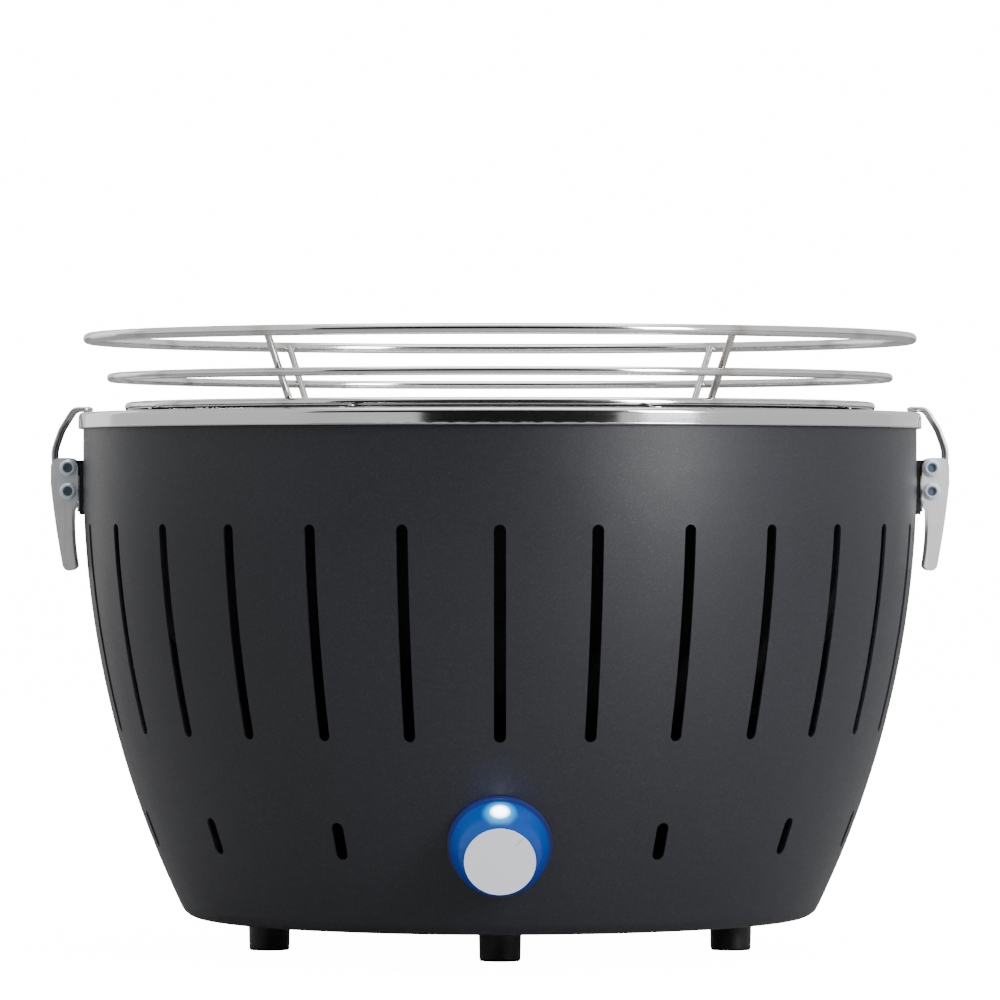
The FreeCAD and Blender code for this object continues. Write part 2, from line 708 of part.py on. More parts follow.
def foot_nuts():
    nuts = []
    for x, y in FOOT_SPOTS.values():
        nut = hexagon(3.9, BASE_LOW, BASE_LOW + 3.0, x, y)
        nuts.append(nut.cut(disc(2.0, BASE_LOW, BASE_LOW + 5, x, y)))
    return Part.Compound(nuts)


# ---- latches, drawn on the +X side ----------------------------------------------------------------
def xz_face(edges, y0, y1):
    """A plate cut to a closed outline in radius and height, from y0 to y1."""
    face = Part.Face(Part.Wire(edges))
    face.translate(V(0, y0, 0))
    return face.extrude(V(0, y1 - y0, 0))


# The lever's outer edge from its shoulder to its tip, as radius and height.
GRIP_EDGE = [(188.3, 196.0), (186.9, 184.0), (183.3, 161.6)]
WEB_T = 1.2
WEB_TOP = 182.0
TIP_CLOSED = 161.4


def cheek_edges():
    shoulder, tip_in = (188.3, 203.0), (177.7, 161.4)
    neck, throat = (179.2, 184.5), (176.9, 189.5)
    inner_top, top_in, top_out = (176.9, 203.0), (180.6, 206.8), (184.3, 206.8)
    return [
        line(shoulder, GRIP_EDGE[0]),
        arc(*GRIP_EDGE),
        arc(GRIP_EDGE[2], (180.6, 159.4), tip_in),
        arc(tip_in, (179.1, 173.0), neck),
        line(neck, throat),
        line(throat, inner_top),
        arc(inner_top, (178.2, 205.6), top_in),
        line(top_in, top_out),
        arc(top_out, (187.1, 205.7), shoulder),
    ]


def latch_lever(side):
    """A pressed U-shaped lever: two cheeks joined by a web along the outer edge of the grip."""
    blank = xz_face(cheek_edges(), -CHEEK_Y[1], CHEEK_Y[1])
    outer = arc(*GRIP_EDGE).Curve
    core = Part.makeCylinder(outer.Radius - WEB_T, 40, outer.Center + V(0, -20, 0), V(0, 1, 0))
    gap = block(160, 200, -CHEEK_Y[0], CHEEK_Y[0], TIP_CLOSED, 215)
    hollow = gap.common(core).fuse(block(160, 200, -CHEEK_Y[0], CHEEK_Y[0], WEB_TOP, 215))
    running = Part.makeCylinder(RIVET_R + RUN, 40, V(LEVER_PIVOT[0], -20, LEVER_PIVOT[1]), V(0, 1, 0))
    tight = Part.makeCylinder(RIVET_R, 40, V(BAIL_PIVOT[0], -20, BAIL_PIVOT[1]), V(0, 1, 0))
    return mirrored(blank.cut([hollow, running, tight]), side)


def pivot_pin(at, play, side):
    """A screw through the latch along Y, with a domed, socketed head at each end."""
    x, z = at
    reach = CHEEK_Y[1] + play
    pin = Part.makeCylinder(RIVET_R, 2 * reach, V(x, -reach, z), V(0, 1, 0))
    for way in (-1, 1):
        head = Part.makeCylinder(3.5, 0.9, V(x, way * reach, z), V(0, way, 0))
        dome = Part.makeCone(3.5, 2.6, 0.7, V(x, way * (reach + 0.9), z), V(0, way, 0))
        socket = hexagon(1.6, 0, 1.0)
        socket.rotate(ORIGIN, V(1, 0, 0), -90 * way)
        socket.translate(V(x, way * (reach + 0.7), z))
        pin = pin.fuse([head, dome]).cut(socket)
    return mirrored(pin, side)


def latch_bracket(side):
    """The plate riveted to the shell, with two ears that carry the lever's pivot."""
    plate = block(170, 180, -9.0, 9.0, 183.0, 204.5)
    ring = tube_z(SHELL_R + 1.6, SHELL_R + 0.05, 180, 207)
    bracket = plate.common(ring)
    for way in (-1, 1):
        y0, y1 = sorted((way * EAR_Y[0], way * EAR_Y[1]))
        ear = block(SHELL_R - 1.0, LEVER_PIVOT[0], y0, y1, LEVER_PIVOT[1] - 3.2, LEVER_PIVOT[1] + 3.2)
        ear = ear.fuse(Part.makeCylinder(3.2, y1 - y0, V(LEVER_PIVOT[0], y0, LEVER_PIVOT[1]), V(0, 1, 0)))
        bracket = bracket.fuse(ear)
    cutters = [Part.makeCylinder(RIVET_R, 40, V(LEVER_PIVOT[0], -20, LEVER_PIVOT[1]), V(0, 1, 0))]
    for y, z in BRACKET_RIVET_SPOTS:
        cutters.append(Part.makeCylinder(BRACKET_RIVET_R, 20, V(165, y, z), V(1, 0, 0)))
    inner = Part.makeCylinder(SHELL_R + 0.05, 60, V(0, 0, 170))
    return mirrored(bracket.cut(inner).cut(cutters), side)


def bracket_rivets(side):
    rivets = []
    for y, z in BRACKET_RIVET_SPOTS:
        inner = shell_radius(z) - SHELL_T - 0.3
        outer = SHELL_R + 1.65
        pin = Part.makeCylinder(BRACKET_RIVET_R, outer - inner, V(inner, y, z), V(1, 0, 0))
        inside = Part.makeCylinder(2.8, 0.9, V(inner - 0.9, y, z), V(1, 0, 0))
        outside = Part.makeCylinder(2.4, 0.7, V(outer, y, z), V(1, 0, 0))
        rivets.append(pin.fuse([inside, outside]))
    return mirrored(Part.Compound(rivets), side)


# The bail's leg from its eye up and over the rim, as radius and height, and the bend at each point.
BAIL_LEG = [(186.6, 200.5), (187.4, 209.5), (184.2, 218.6), (178.8, 227.2)]
BAIL_BENDS = [8.0, 14.0, 14.0, 4.0]
BAIL_BAR = (172.5, 227.2)
EYE_R = 2.7


def latch_bail(side):
    """A bent wire loop with an eye at each end, whose bar lies on the bowl's rim."""
    eye_at = V(BAIL_PIVOT[0], 0, BAIL_PIVOT[1])
    start = eye_at + (rz(BAIL_LEG[0]) - eye_at).normalize() * (EYE_R - 0.6)
    leg = [start] + [rz(p) for p in BAIL_LEG] + [rz(BAIL_BAR)]
    near = [p + V(0, -BAIL_Y, 0) for p in leg]
    far = [p + V(0, BAIL_Y, 0) for p in reversed(leg)]
    bail = wire_tube(rounded_path(near + far, BAIL_BENDS + [2.0, 2.0] + BAIL_BENDS[::-1]), BAIL_WIRE_R)
    for y in (-BAIL_Y, BAIL_Y):
        low = V(eye_at.x, y - BAIL_WIRE_R, eye_at.z)
        bail = bail.fuse(Part.makeCylinder(EYE_R, 2 * BAIL_WIRE_R, low, V(0, 1, 0)))
    hole = Part.makeCylinder(RIVET_R + RUN, 40, V(eye_at.x, -20, eye_at.z), V(0, 1, 0))
    return mirrored(bail.cut(hole), side)


# ---- write every node ---------------------------------------------------------------------------
def main():
    os.makedirs("parts", exist_ok=True)
    save(outer_shell(), "outer_shell")
    save(inner_bowl(), "inner_bowl")
    save(bowl_floor(), "bowl_floor")
    save(air_collar(), "air_collar")
    save(grate_rings(), "grate_rings")
    save(grate_spokes(), "grate_spokes")
    save(drip_plate(), "drip_plate")
    save(plate_rivets(), "plate_rivets")
    save(Part.makeTorus(GUARD_TOP_R, GUARD_TOP_WIRE, V(0, 0, GUARD_TOP_Z)), "guard_ring_top")
    save(Part.makeTorus(GUARD_MID_R, GUARD_MID_WIRE, V(0, 0, GUARD_MID_Z)), "guard_ring_middle")
    save(guard_struts(), "guard_struts")
    save(charcoal_basket(), "charcoal_basket")
    save(basket_lid(), "basket_lid")
    save(lid_handle(), "lid_handle")
    save(dish_floor(), "dish_floor")
    save(dish_walls(), "dish_walls")
    save(base_housing(), "base_housing")
    save(housing_screws(), "housing_screws")
    save(battery_cap(), "battery_cap")
    for k in range(4):
        save(battery_cell(k), f"battery_cell_{k + 1}")
    save(battery_contacts(-1), "battery_contacts_front")
    save(battery_contacts(1), "battery_contacts_back")
    save(fan_frame(), "fan_frame")
    save(fan_motor(), "fan_motor")
    save(fan_shaft(), "fan_shaft")
    save(fan_rotor(), "fan_rotor")
    save(fan_cover(), "fan_cover")
    save(air_gasket(), "air_gasket")
    save(knob_bezel(), "knob_bezel")
    save(knob_skirt(), "knob_skirt")
    save(knob_cap(), "knob_cap")
    save(dimmer_shaft(), "dimmer_shaft")
    save(dimmer_body(), "dimmer_body")
    save(dimmer_nut(), "dimmer_nut")
    save(status_light(), "status_light")
    save(circuit_board(), "circuit_board")
    save(board_posts(), "board_posts")
    save(dimmer_lead(), "dimmer_lead")
    save(battery_lead(), "battery_lead")
    for name, (x, y) in FOOT_SPOTS.items():
        save(foot(x, y), f"foot_{name}")
    save(foot_screws(), "foot_screws")
    save(foot_nuts(), "foot_nuts")
    for name, side in (("left", -1), ("right", 1)):
        save(latch_bracket(side), f"latch_bracket_{name}")
        save(bracket_rivets(side), f"bracket_rivets_{name}")
        save(pivot_pin(LEVER_PIVOT, 0.4, side), f"lever_pivot_{name}")
        save(latch_lever(side), f"latch_lever_{name}")
        save(pivot_pin(BAIL_PIVOT, 0.0, side), f"bail_pivot_{name}")
        save(latch_bail(side), f"latch_bail_{name}")
    print("knob at", KNOB_AT, "axis", KNOB_AXIS, "tilt", KNOB_TILT)


main()
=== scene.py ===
# %% [markdown]
# # A portable tabletop grill
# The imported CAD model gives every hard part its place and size. This lesson adds what a drawing
# leaves out: weld beads, the coiled grip of the lid's handle, a hemmed rim, and a finish for every part.
# All lengths are metres, Z is up and the front of the grill, with its knob, looks towards -Y.

# %% Load the frame
import json
import math
import random

import bpy
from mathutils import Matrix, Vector

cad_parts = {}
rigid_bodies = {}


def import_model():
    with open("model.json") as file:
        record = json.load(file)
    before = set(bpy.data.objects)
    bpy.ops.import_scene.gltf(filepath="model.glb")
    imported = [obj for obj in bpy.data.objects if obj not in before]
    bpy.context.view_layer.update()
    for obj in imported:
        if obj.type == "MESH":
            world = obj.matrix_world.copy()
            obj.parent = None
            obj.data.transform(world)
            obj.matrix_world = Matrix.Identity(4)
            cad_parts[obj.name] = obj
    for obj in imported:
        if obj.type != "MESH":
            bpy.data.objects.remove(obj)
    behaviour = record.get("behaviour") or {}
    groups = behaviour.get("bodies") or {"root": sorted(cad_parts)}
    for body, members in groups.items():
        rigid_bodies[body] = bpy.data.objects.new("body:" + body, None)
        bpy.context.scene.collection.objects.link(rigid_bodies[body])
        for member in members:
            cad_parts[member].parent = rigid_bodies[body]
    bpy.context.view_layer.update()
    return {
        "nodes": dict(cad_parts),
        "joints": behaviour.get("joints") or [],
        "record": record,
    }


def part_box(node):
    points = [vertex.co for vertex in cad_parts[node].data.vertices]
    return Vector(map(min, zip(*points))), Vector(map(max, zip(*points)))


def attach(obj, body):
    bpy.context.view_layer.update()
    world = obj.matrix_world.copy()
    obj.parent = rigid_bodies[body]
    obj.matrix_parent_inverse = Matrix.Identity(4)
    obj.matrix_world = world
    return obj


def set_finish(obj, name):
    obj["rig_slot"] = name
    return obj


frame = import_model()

MM = 0.001
NODES = frame["nodes"]
JOINTS = {j["name"]: j for j in frame["joints"]}
random.seed(7)

# %% [markdown]
# ## Starting and closing a piece
# An operator acts on everything that is selected, so each piece starts from a clean selection. When it is
# done, its place is moved into its mesh and its faces are shaded smooth, except across sharp edges.


# %% Selection and finishing helpers
def clear_selection():
    if bpy.context.mode != "OBJECT":
        bpy.ops.object.mode_set(mode="OBJECT")
    bpy.ops.object.select_all(action="DESELECT")


def only(piece):
    clear_selection()
    piece.select_set(True)
    bpy.context.view_layer.objects.active = piece


def apply_modifiers(piece):
    only(piece)
    for modifier in list(piece.modifiers):
        bpy.ops.object.modifier_apply(modifier=modifier.name)


def close_piece(piece, name, body, slot, angle=35):
    """Puts the place in the mesh, shades it, and lets it ride on its body."""
    only(piece)
    bpy.ops.object.transform_apply(location=True, rotation=True, scale=True)
    bpy.ops.object.shade_smooth_by_angle(angle=math.radians(angle))
    piece.name = name
    piece.data.name = name
    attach(piece, body)
    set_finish(piece, slot)
    print(name, len(piece.data.polygons), "faces")
    return piece


def tidy_normals(piece):
    only(piece)
    bpy.ops.object.mode_set(mode="EDIT")
    bpy.ops.mesh.select_all(action="SELECT")
    bpy.ops.mesh.remove_doubles(threshold=1e-6)
    bpy.ops.mesh.normals_make_consistent(inside=False)
    bpy.ops.object.mode_set(mode="OBJECT")


def joined(pieces):
    clear_selection()
    for piece in pieces:
        piece.select_set(True)
    bpy.context.view_layer.objects.active = pieces[0]
    bpy.ops.object.join()
    return pieces[0]


# %% [markdown]
# ## Weld beads
# The guard rings are welded to four leaning struts, and the struts to the grate. A real weld leaves a small
# lumpy bead at each crossing. One bead is modelled from a sphere that is flattened and pushed about a
# little, and then copied to every crossing, each copy with its own mesh and its own turn.

# %% Where the wires cross
def ring_of(node):
    """Centreline radius, height and wire radius of a ring about Z."""
    low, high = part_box(node)
    wire = (high.z - low.z) / 2
    return high.x - wire, (low.z + high.z) / 2, wire


TOP_RING = ring_of("guard_ring_top")
MIDDLE_RING = ring_of("guard_ring_middle")
EDGE_RING = ring_of("grate_rings")
STRUT_TURN = math.radians(33.2)
STRUT_ANGLES = [s * math.pi / 2 + t * STRUT_TURN for s in (-1, 1) for t in (-1, 1)]
print("guard ring", TOP_RING, "middle ring", MIDDLE_RING)


# %% One bead, copied to every crossing
def weld_bead(place, size, turn):
    clear_selection()
    bpy.ops.mesh.primitive_ico_sphere_add(subdivisions=2, radius=size, location=place)
    bead = bpy.context.object
    bpy.ops.object.mode_set(mode="EDIT")
    bpy.ops.mesh.select_all(action="SELECT")
    bpy.ops.transform.resize(value=(1.0, 1.5, 0.8), center_override=place)
    bpy.ops.transform.rotate(value=turn, orient_axis="Z", center_override=place)
    bpy.ops.mesh.vertices_smooth(factor=0.4)
    bpy.ops.object.mode_set(mode="OBJECT")
    for vertex in bead.data.vertices:
        vertex.co *= 1 + random.uniform(-0.06, 0.06)
    return bead


def on_ring(radius, angle, height):
    return Vector((radius * math.cos(angle), radius * math.sin(angle), height))


beads = []
for angle in STRUT_ANGLES:
    for (radius, height, wire), drop in ((TOP_RING, 0.4), (MIDDLE_RING, 0.2), (EDGE_RING, 0.2)):
        for side in (-1, 1):
            spot = on_ring(radius - wire - 0.2 * MM, angle + side * 1.5 * MM / radius, height - drop * wire)
            beads.append(weld_bead(spot, 1.05 * MM, angle))
print(len(beads), "weld beads on the guard")
close_piece(joined(beads), "guard_weld_beads", "grate", "wire_chrome", 60)

# %% Beads under the edge ring, one on each spoke
SPOKE_COUNT = 8
beads = []
for k in range(SPOKE_COUNT):
    angle = (k + 0.5) * 2 * math.pi / SPOKE_COUNT
    for side in (-1, 1):
        spot = on_ring(EDGE_RING[0], angle + side * 1.6 * MM / EDGE_RING[0], EDGE_RING[1] - 1.4 * MM)
        beads.append(weld_bead(spot, 0.9 * MM, angle + math.pi / 2))
close_piece(joined(beads), "spoke_weld_beads", "grate", "wire_chrome", 60)

# %% [markdown]
# ## The coiled grip on the lid's handle
# A wire handle gets hot, so its bar wears a loose coil of thin wire that stays cooler. The coil is one small
# circle wound along the bar by a Screw modifier, which is what the modifier is for.

# %% Coil the grip
handle_low, handle_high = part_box("lid_handle")
bar_wire = (handle_high.z - handle_low.z) / 2
bar_y = handle_low.y + bar_wire
bar_z = (handle_low.z + handle_high.z) / 2
COIL_WIRE = 0.45 * MM
COIL_RADIUS = bar_wire + COIL_WIRE + 0.05 * MM
COIL_PITCH = 1.15 * MM
COIL_LENGTH = 34 * MM
clear_selection()
bpy.ops.mesh.primitive_circle_add(vertices=8, radius=COIL_WIRE, location=(0, 0, 0))
coil = bpy.context.object
bpy.ops.object.mode_set(mode="EDIT")
bpy.ops.mesh.select_all(action="SELECT")
bpy.ops.transform.rotate(value=math.pi / 2, orient_axis="X", center_override=(0, 0, 0))
bpy.ops.transform.translate(value=(COIL_RADIUS, 0, 0))
bpy.ops.object.mode_set(mode="OBJECT")
winding = coil.modifiers.new("winding", "SCREW")
winding.axis = "Z"
winding.iterations = int(COIL_LENGTH / COIL_PITCH)
winding.screw_offset = COIL_PITCH
winding.steps = 18
winding.render_steps = 18
winding.use_merge_vertices = False
apply_modifiers(coil)
only(coil)
bpy.ops.object.mode_set(mode="EDIT")
bpy.ops.mesh.select_all(action="SELECT")
bpy.ops.transform.translate(value=(0, 0, -COIL_LENGTH / 2))
bpy.ops.transform.rotate(value=math.pi / 2, orient_axis="Y", center_override=(0, 0, 0))
bpy.ops.transform.translate(value=(0, bar_y, bar_z))
bpy.ops.mesh.select_all(action="DESELECT")
bpy.ops.object.mode_set(mode="OBJECT")
only(coil)
bpy.ops.object.mode_set(mode="EDIT")
bpy.ops.mesh.select_non_manifold()
bpy.ops.mesh.edge_face_add()
bpy.ops.object.mode_set(mode="OBJECT")
tidy_normals(coil)
close_piece(coil, "handle_grip_coil", "basket_handle", "wire_chrome", 60)

# %% [markdown]
# ## The hem of the rim
# Thin steel is folded back at its edge, so that it is stiff and doesn't cut. The fold shows as a fine round
# line along the bottom of the rim. It is a small profile spun once round the grill.

# %% Spin the hem
rim_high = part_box("inner_bowl")[1]
RIM_EDGE_Z = 219.4 * MM
HEM = 0.55 * MM
clear_selection()
bpy.ops.mesh.primitive_circle_add(vertices=10, radius=HEM, location=(0, 0, 0))
hem = bpy.context.object
bpy.ops.object.mode_set(mode="EDIT")
bpy.ops.mesh.select_all(action="SELECT")
bpy.ops.transform.rotate(value=math.pi / 2, orient_axis="X", center_override=(0, 0, 0))
bpy.ops.transform.translate(value=(rim_high.x - 0.45 * MM, 0, RIM_EDGE_Z))
bpy.ops.mesh.spin(steps=256, angle=2 * math.pi, center=(0, 0, 0), axis=(0, 0, 1))
bpy.ops.object.mode_set(mode="OBJECT")
tidy_normals(hem)
close_piece(hem, "rim_hem", "grill_base", "rim_steel", 60)

# %% [markdown]
# ## Writing a finish
# A finish is a small network of nodes. The class below wraps a socket, so that sums on sockets read like
# ordinary arithmetic, and every other node comes from one method.


# %% Sockets as numbers
class Value:
    """A number that changes over the surface."""

    def __init__(self, finish, socket):
        self.finish = finish
        self.socket = socket

    def math(self, operation, *others):
        return self.finish.node("Math", {"operation": operation}, dict(enumerate((self, *others))))

    def __add__(self, other):
        return self.math("ADD", other)

    __radd__ = __add__

    def __sub__(self, other):
        return self.math("SUBTRACT", other)

    def __rsub__(self, other):
        return self.finish.node("Math", {"operation": "SUBTRACT"}, {0: other, 1: self})

    def __mul__(self, other):
        return self.math("MULTIPLY", other)

    __rmul__ = __mul__

    def __truediv__(self, other):
        return self.math("DIVIDE", other)

    def between(self, low, high):
        """0 below low, 1 above high, and smooth between them."""
        ramp = {"interpolation_type": "SMOOTHSTEP"}
        return self.finish.node("MapRange", ramp, {"Value": self, "From Min": low, "From Max": high})


class Finish:
    """One material: its fixed values, and the nodes that vary it."""

    def __init__(self, name, **fixed):
        self.material = bpy.data.materials.new(name)
        self.material.use_nodes = True
        self.tree = self.material.node_tree
        self.shader = self.tree.nodes["Principled BSDF"]
        for socket, value in fixed.items():
            self.shader.inputs[socket.replace("_", " ")].default_value = value

    def node(self, kind, settings, sockets, out=0):
        made = self.tree.nodes.new("ShaderNode" + kind)
        for key, value in settings.items():
            if key == "stops":
                for k, (at, colour) in enumerate(value):
                    stop = made.color_ramp.elements[k] if k < 2 else made.color_ramp.elements.new(at)
                    stop.position, stop.color = at, (*colour, 1)
            else:
                setattr(made, key, value)
        for key, value in sockets.items():
            if isinstance(value, Value):
                self.tree.links.new(value.socket, made.inputs[key])
            else:
                made.inputs[key].default_value = value
        return Value(self, made.outputs[out])

    def place(self):
        return self.node("TexCoord", {}, {}, "Object")

    def axes(self):
        vector = self.place()
        return [self.node("SeparateXYZ", {}, {"Vector": vector}, k) for k in "XYZ"]

    def vector(self, x, y, z):
        return self.node("CombineXYZ", {}, {"X": x, "Y": y, "Z": z})

    def noise(self, scale, stretch=(1, 1, 1), detail=3.0, at=None):
        at = at or self.place()
        scaled = self.node("Mapping", {}, {"Vector": at, "Scale": [scale * s for s in stretch]})
        return self.node("TexNoise", {}, {"Vector": scaled, "Scale": 1.0, "Detail": detail, "Roughness": 0.6})

    def cells(self, scale):
        """A different random number in each small cell."""
        scaled = self.node("Mapping", {}, {"Vector": self.place(), "Scale": [scale] * 3})
        colour = self.node("TexVoronoi", {"feature": "F1"}, {"Vector": scaled, "Scale": 1.0}, "Color")
        return self.node("SeparateColor", {}, {"Color": colour}, "Red")

    def mix(self, amount, a, b):
        def colour(c):
            return c if isinstance(c, Value) else (*c, 1)
        return self.node("Mix", {"data_type": "RGBA"}, {"Factor": amount, 6: colour(a), 7: colour(b)}, 2)

    def vary(self, socket, value):
        self.tree.links.new(value.socket, self.shader.inputs[socket])

    def bump(self, height, depth, strength=1.0):
        bumped = self.node("Bump", {}, {"Height": height, "Distance": depth, "Strength": strength})
        self.vary("Normal", bumped)

    def radius_and_angle(self):
        x, y, _ = self.axes()
        radius = (x * x + y * y).math("SQRT")
        return radius, y.math("ARCTAN2", x)

    def along(self, point, direction):
        """How far a spot lies from a point, along a direction."""
        offset = self.node("VectorMath", {"operation": "SUBTRACT"}, {0: self.place(), 1: point})
        return self.node("VectorMath", {"operation": "DOT_PRODUCT"}, {0: offset, 1: direction}, "Value")

    def distance_from(self, point, at=None):
        ends = {0: at or self.place(), 1: point}
        return self.node("VectorMath", {"operation": "DISTANCE"}, ends, "Value")


# %% [markdown]
# ## Powder coat on the shell
# The shell has a dark, satin powder coat. Close up it has a fine sparkle and a faint orange peel, and a
# little light from the knob's lamp is painted on it as faint blue emission. The sparkle is one random number
# per tiny cell.

# %% Shell finish
lamp_low, lamp_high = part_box("status_light")
LAMP = Vector((0, lamp_low.y, lamp_high.z))
coat = Finish("anthracite_powder_coat", Metallic=0.0, Specular_IOR_Level=0.45)
flake = coat.cells(3200)
cloud = coat.noise(22)
tone = coat.mix(cloud, (0.0100, 0.0106, 0.0146), (0.0126, 0.0134, 0.0182))
spark = flake.between(0.80, 1.0)
coat.vary("Base Color", coat.mix(spark * 0.5, tone, (0.036, 0.038, 0.048)))
coat.vary("Roughness", 0.43 + cloud * 0.05 - spark * 0.08)
coat.bump(coat.noise(900, detail=2.0) + flake * 0.25, 0.00004, 0.5)
# Painted light: a faint blue emission near the knob's lamp stands in for the lamp's light falling on the
# shell.
painted_lamp_pool = 1 - coat.distance_from(LAMP).between(0.003, 0.030)
coat.vary("Emission Color", coat.mix(painted_lamp_pool * painted_lamp_pool, (0, 0, 0), (0.001, 0.002, 0.018)))
coat.shader.inputs["Emission Strength"].default_value = 1.0

# %% [markdown]
# ## Spun and polished steel
# The bowl and its rim are turned on a lathe, so their scratches run round the axis. Noise that is stretched
# along the angle gives them. Outside, below the rim, the bowl is painted near black as painted shade, where
# the shell shades it.

# %% Bowl finish
bowl = Finish("spun_steel_bowl")
radius, angle = bowl.radius_and_angle()
height = bowl.axes()[2]
grain = bowl.noise(1.0, detail=4.0, at=bowl.vector(radius * 2600, angle * 5, height * 2600))
marks = bowl.noise(30)
facing = bowl.node("NewGeometry", {}, {}, "Normal")
outward = bowl.node("VectorMath", {"operation": "DOT_PRODUCT"}, {0: facing, 1: bowl.vector(
    bowl.axes()[0] / radius, bowl.axes()[1] / radius, -0.6)}, "Value")
# Painted shade: the bowl's outside below the rim is painted near black, dull and not metallic, for the shade
# the shell casts there.
painted_underside_shade = outward.between(0.05, 0.2) * (1 - height.between(0.2170, 0.2185))
steel = bowl.mix(grain, (0.50, 0.50, 0.51), (0.68, 0.68, 0.69))
bowl.vary("Base Color", bowl.mix(painted_underside_shade, steel, (0.006, 0.006, 0.007)))
bowl.vary("Metallic", 1 - painted_underside_shade)
bowl.vary("Roughness", 0.05 + grain * 0.07 + marks * 0.04 + painted_underside_shade * 0.55)
bowl.bump(grain, 0.00001, 0.2)


# %% [markdown]
# ## Bright wire
# The rings are drawn stainless wire, polished after welding. Each weld leaves a faint straw tint.

# %% Wire finish
def bright_wire(name, colour, rough, tinted=True):
    wire = Finish(name, Metallic=1.0)
    streak = wire.noise(420, detail=2.0)
    dull = wire.noise(60)
    tone = wire.mix(streak, [c * 0.86 for c in colour], colour)
    if tinted:
        radius, angle = wire.radius_and_angle()
        near = 1 - ((angle * 2 + math.pi).math("SINE").math("ABSOLUTE") - math.sin(2 * STRUT_TURN)).math(
            "ABSOLUTE").between(0.0, 0.035)
        tone = wire.mix(near * dull * 0.8, tone, (0.34, 0.27, 0.19))
    wire.vary("Base Color", tone)
    wire.vary("Roughness", rough + dull * 0.08 + streak * 0.04)
    wire.bump(streak, 0.00002, 0.3)
    return wire


chrome = bright_wire("polished_wire", (0.78, 0.78, 0.79), 0.05)
spring_wire = bright_wire("drawn_bail_wire", (0.66, 0.66, 0.67), 0.26, tinted=False)


# %% [markdown]
# ## Brushed sheet
# Sheet parts show fine parallel scratches along one direction. The same recipe, with its own colour,
# direction and gloss, serves the levers, the plate, the basket and the small fixings.

# %% Brushed metal recipe
def brushed(name, colour, rough, stretch, heat=0.0, depth=0.00002, metal=1.0):
    sheet = Finish(name, Metallic=metal)
    scratch = sheet.noise(2400, stretch)
    broad = sheet.noise(45)
    tone = sheet.mix(scratch, [c * 0.8 for c in colour], [min(1, c * 1.08) for c in colour])
    if heat:
        tone = sheet.mix(broad.between(0.45, 0.75) * heat, tone, (0.25, 0.15, 0.09))
    sheet.vary("Base Color", tone)
    sheet.vary("Roughness", rough + scratch * 0.12 + broad * 0.08)
    sheet.bump(scratch, depth, 0.35)
    return sheet


along_x, along_z = (0.02, 1, 1), (1, 1, 0.02)
lever = brushed("brushed_lever_steel", (0.80, 0.80, 0.81), 0.36, along_z, metal=0.55)
plate = brushed("brushed_plate_steel", (0.62, 0.62, 0.63), 0.22, along_x)
basket = brushed("used_basket_steel", (0.50, 0.49, 0.48), 0.30, along_z, heat=0.5)
zinc = brushed("blue_zinc", (0.72, 0.83, 0.94), 0.26, (0.6, 0.6, 0.6), depth=0.00001, metal=0.45)
contact = brushed("nickel_contact", (0.72, 0.69, 0.62), 0.20, along_x)
can = brushed("drawn_motor_can", (0.55, 0.55, 0.56), 0.28, along_z)
duct = brushed("aluminised_duct", (0.52, 0.52, 0.53), 0.36, along_z, heat=0.25)
plated = brushed("plated_dimmer", (0.56, 0.55, 0.53), 0.30, along_z)

# %% [markdown]
# The latch screws have a socket for a key. The middle of each head is painted dark as painted shade round the
# socket, inside the bright zinc edge. The mask is the distance from each screw's own axis.

# %% Painted shade in the latch screw heads
DARK_R = 2.3 * MM
across, _, upward = zinc.axes()
painted_socket_shade = None
for joint in ("lever_right_hinge", "bail_right_hinge"):
    x, _, z = JOINTS[joint]["pos_m"]
    off_axis = zinc.vector(across.math("ABSOLUTE") - abs(x), 0.0, upward - z)
    off_axis = zinc.node("VectorMath", {"operation": "LENGTH"}, {0: off_axis}, "Value")
    mask = 1 - off_axis.between(DARK_R * 0.8, DARK_R)
    painted_socket_shade = mask if painted_socket_shade is None else painted_socket_shade + mask
plain = Value(zinc, zinc.shader.inputs["Base Color"].links[0].from_socket)
# Painted shade: a dark disc, wider than the socket, darkens the middle of each screw head.
zinc.vary("Base Color", zinc.mix(painted_socket_shade * 0.9, plain, (0.045, 0.075, 0.12)))

# %% [markdown]
# ## Turned knob face
# The knob's metal face is turned, so its scratches are rings about the knob's own axis. Distance from that
# axis is what the noise reads. A fine line near the edge shows how far the knob is turned.

# %% Knob face finish
knob_joint = JOINTS["knob_turn"]
KNOB_AT = Vector(knob_joint["pos_m"])
KNOB_OUT = -Vector(knob_joint["axis"]).normalized()
FACE_CENTRE = KNOB_AT + KNOB_OUT * 16.5 * MM
MARK_TURN = math.radians(42)
MARK_START, MARK_END, MARK_FADE = 9.0 * MM, 14.0 * MM, 0.4 * MM
MARK_HALF_WIDTH = 0.1 * MM
face = Finish("turned_knob_face", Metallic=0.1)
from_hub = face.distance_from(FACE_CENTRE)
rings = face.noise(1.0, detail=4.0, at=face.vector(from_hub * 5200, 0.0, 0.0))
silver = face.mix(rings, (0.80, 0.81, 0.85), (0.90, 0.91, 0.95))
face_across = Vector((1, 0, 0))
face_up = KNOB_OUT.cross(face_across)
mark_along = (face_across * math.sin(MARK_TURN) + face_up * math.cos(MARK_TURN)).normalized()
mark_aside = mark_along.cross(KNOB_OUT)
reach = face.along(FACE_CENTRE, mark_along)
aside = face.along(FACE_CENTRE, mark_aside).math("ABSOLUTE")
started = reach.between(MARK_START, MARK_START + MARK_FADE)
ended = reach.between(MARK_END - MARK_FADE, MARK_END)
mark = started * (1 - ended) * (1 - aside.between(MARK_HALF_WIDTH, 2 * MARK_HALF_WIDTH))
face.vary("Base Color", face.mix(mark * 0.6, silver, (0.20, 0.20, 0.22)))
face.vary("Roughness", 0.46 + rings * 0.14)
face.bump(rings, 0.00002, 0.3)
